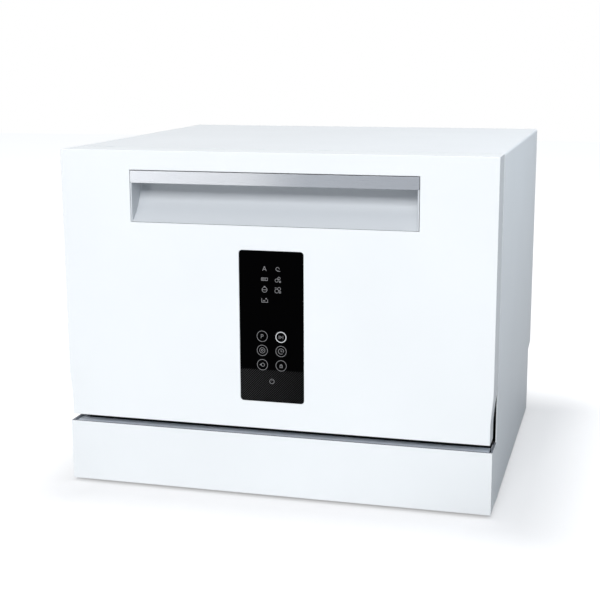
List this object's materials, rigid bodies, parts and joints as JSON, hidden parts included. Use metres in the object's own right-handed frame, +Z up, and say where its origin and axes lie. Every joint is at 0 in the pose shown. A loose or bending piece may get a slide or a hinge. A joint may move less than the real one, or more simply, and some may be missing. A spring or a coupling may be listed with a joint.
{
  "type": "countertop dishwasher",
  "caption": "White countertop dishwasher with a fold-down door, finger recess, black touch panel, plinth, and a dish rack that rolls out as the door opens.",
  "frame": {"origin": "on the worktop under the middle of the machine", "axes": "+Z up, the door faces -Y, +X is the right side seen from the front"},
  "size_m": [0.551, 0.508, 0.438],
  "materials": {
    "white_steel": "smooth white paint, satin",
    "white_door": "smooth white, satin",
    "white_plinth": "smooth white, satin",
    "stainless": "fine brushed stainless steel",
    "strip_steel": "horizontally brushed strip",
    "zinc": "galvanised sheet",
    "recess_grey": "light blue-grey satin plastic",
    "black_glass": "glossy black back-printed glass",
    "print_white": "printed line",
    "dark_plastic": "moulded dark grey",
    "grey_plastic": "moulded light grey",
    "white_plastic": "moulded white",
    "blue_plastic": "moulded blue",
    "rubber": "matt rubber",
    "grey_rubber": "soft grey seal",
    "felt": "sound felt",
    "wire_coat": "light grey coated wire",
    "screw_steel": "bright zinc"
  },
  "bodies": {
    "housing": {"outer_cabinet": "white_steel", "back_panel": "zinc", "back_screws": "screw_steel", "base_tray": "dark_plastic", "plinth": "white_plinth", "rubber_feet": "rubber", "tub": "stainless", "tub_insulation": "felt", "door_gasket": "grey_rubber", "sill_seal": "grey_rubber", "rack_rail_left": "grey_plastic", "rack_rail_right": "grey_plastic", "hinge_bracket_left": "zinc", "hinge_bracket_right": "zinc", "hinge_spring_left": "screw_steel", "hinge_spring_right": "screw_steel", "door_latch": "dark_plastic", "sump": "dark_plastic", "flat_filter": "stainless", "spray_support": "grey_plastic", "circulation_pump": "dark_plastic", "flow_heater": "stainless", "riser_hose": "rubber", "drain_pump": "dark_plastic", "drain_hose": "rubber", "drain_port": "dark_plastic", "inlet_valve": "white_plastic", "fill_hose": "rubber", "air_break": "white_plastic", "water_softener": "white_plastic", "float_switch": "dark_plastic", "control_box": "dark_plastic", "cord_gland": "rubber"},
    "door": {"door_front": "white_door", "finger_recess": "recess_grey", "steel_strip": "strip_steel", "touch_glass": "black_glass", "panel_icons": "print_white", "display_housing": "dark_plastic", "door_liner": "stainless", "liner_screws": "screw_steel", "door_insulation": "felt", "hinge_arm_left": "zinc", "hinge_arm_right": "zinc", "door_striker": "screw_steel", "dispenser": "grey_plastic"},
    "rack": {"rack_frame": "wire_coat", "plate_tines": "wire_coat", "roller_brackets": "grey_plastic"},
    "roller_front_left": {"roller_front_left": "grey_plastic"},
    "roller_front_right": {"roller_front_right": "grey_plastic"},
    "roller_rear_left": {"roller_rear_left": "grey_plastic"},
    "roller_rear_right": {"roller_rear_right": "grey_plastic"},
    "dispenser_lid": {"dispenser_lid": "white_plastic"},
    "rinse_cap": {"rinse_cap": "blue_plastic"},
    "cutlery_basket": {"cutlery_basket": "grey_plastic"},
    "spray_arm": {"spray_arm": "grey_plastic"},
    "filter_cup": {"filter_cup": "grey_plastic"},
    "salt_cap": {"salt_cap": "grey_plastic"},
    "water_float": {"water_float": "grey_plastic"}
  },
  "joints": [
    {"name": "door_hinge", "type": "hinge", "parent": "housing", "child": "door", "pos_m": [0, -0.23, 0.1265], "axis": [1, 0, 0], "range_deg": [0, 90], "deforming": ["hinge_spring_left", "hinge_spring_right"]},
    {"name": "rack_slide", "type": "slide", "parent": "housing", "child": "rack", "axis": [0, -1, 0], "range_m": [0, 0.2]},
    {"name": "cutlery_lift", "type": "slide", "parent": "rack", "child": "cutlery_basket", "axis": [0, 0, 1], "range_m": [0, 0.11]},
    {"name": "spray_spin", "type": "hinge", "parent": "housing", "child": "spray_arm", "pos_m": [0, 0, 0.155], "axis": [0, 0, 1], "continuous": true},
    {"name": "lid_slide", "type": "slide", "parent": "door", "child": "dispenser_lid", "axis": [1, 0, 0], "range_m": [0, 0.074]},
    {"name": "rinse_cap_turn", "type": "hinge", "parent": "door", "child": "rinse_cap", "pos_m": [0.083, -0.195, 0.274], "axis": [0, 1, 0], "range_deg": [0, 90]},
    {"name": "salt_cap_turn", "type": "hinge", "parent": "housing", "child": "salt_cap", "pos_m": [0.195, 0.115, 0.145], "axis": [0, 0, 1], "range_deg": [0, 180]},
    {"name": "filter_turn", "type": "hinge", "parent": "housing", "child": "filter_cup", "pos_m": [0, -0.075, 0.12], "axis": [0, 0, 1], "range_deg": [0, 90]},
    {"name": "float_rise", "type": "slide", "parent": "housing", "child": "water_float", "axis": [0, 0, 1], "range_m": [0, 0.008]},
    {"name": "roller_front_left_spin", "type": "hinge", "parent": "rack", "child": "roller_front_left", "pos_m": [-0.2362, 0.01, 0.2083], "axis": [1, 0, 0], "range_deg": [0, 960]},
    {"name": "roller_front_right_spin", "type": "hinge", "parent": "rack", "child": "roller_front_right", "pos_m": [0.2362, 0.01, 0.2083], "axis": [1, 0, 0], "range_deg": [0, 960]},
    {"name": "roller_rear_left_spin", "type": "hinge", "parent": "rack", "child": "roller_rear_left", "pos_m": [-0.2362, 0.175, 0.2083], "axis": [1, 0, 0], "range_deg": [0, 960]},
    {"name": "roller_rear_right_spin", "type": "hinge", "parent": "rack", "child": "roller_rear_right", "pos_m": [0.2362, 0.175, 0.2083], "axis": [1, 0, 0], "range_deg": [0, 960]}
  ],
  "couplings": [
    {"joint": "rack_slide", "follows": "door_hinge", "m_per_rad": 0.12732},
    {"joint": "roller_front_left_spin", "follows": "door_hinge", "ratio": 10.61},
    {"joint": "roller_front_right_spin", "follows": "door_hinge", "ratio": 10.61},
    {"joint": "roller_rear_left_spin", "follows": "door_hinge", "ratio": 10.61},
    {"joint": "roller_rear_right_spin", "follows": "door_hinge", "ratio": 10.61}
  ]
}
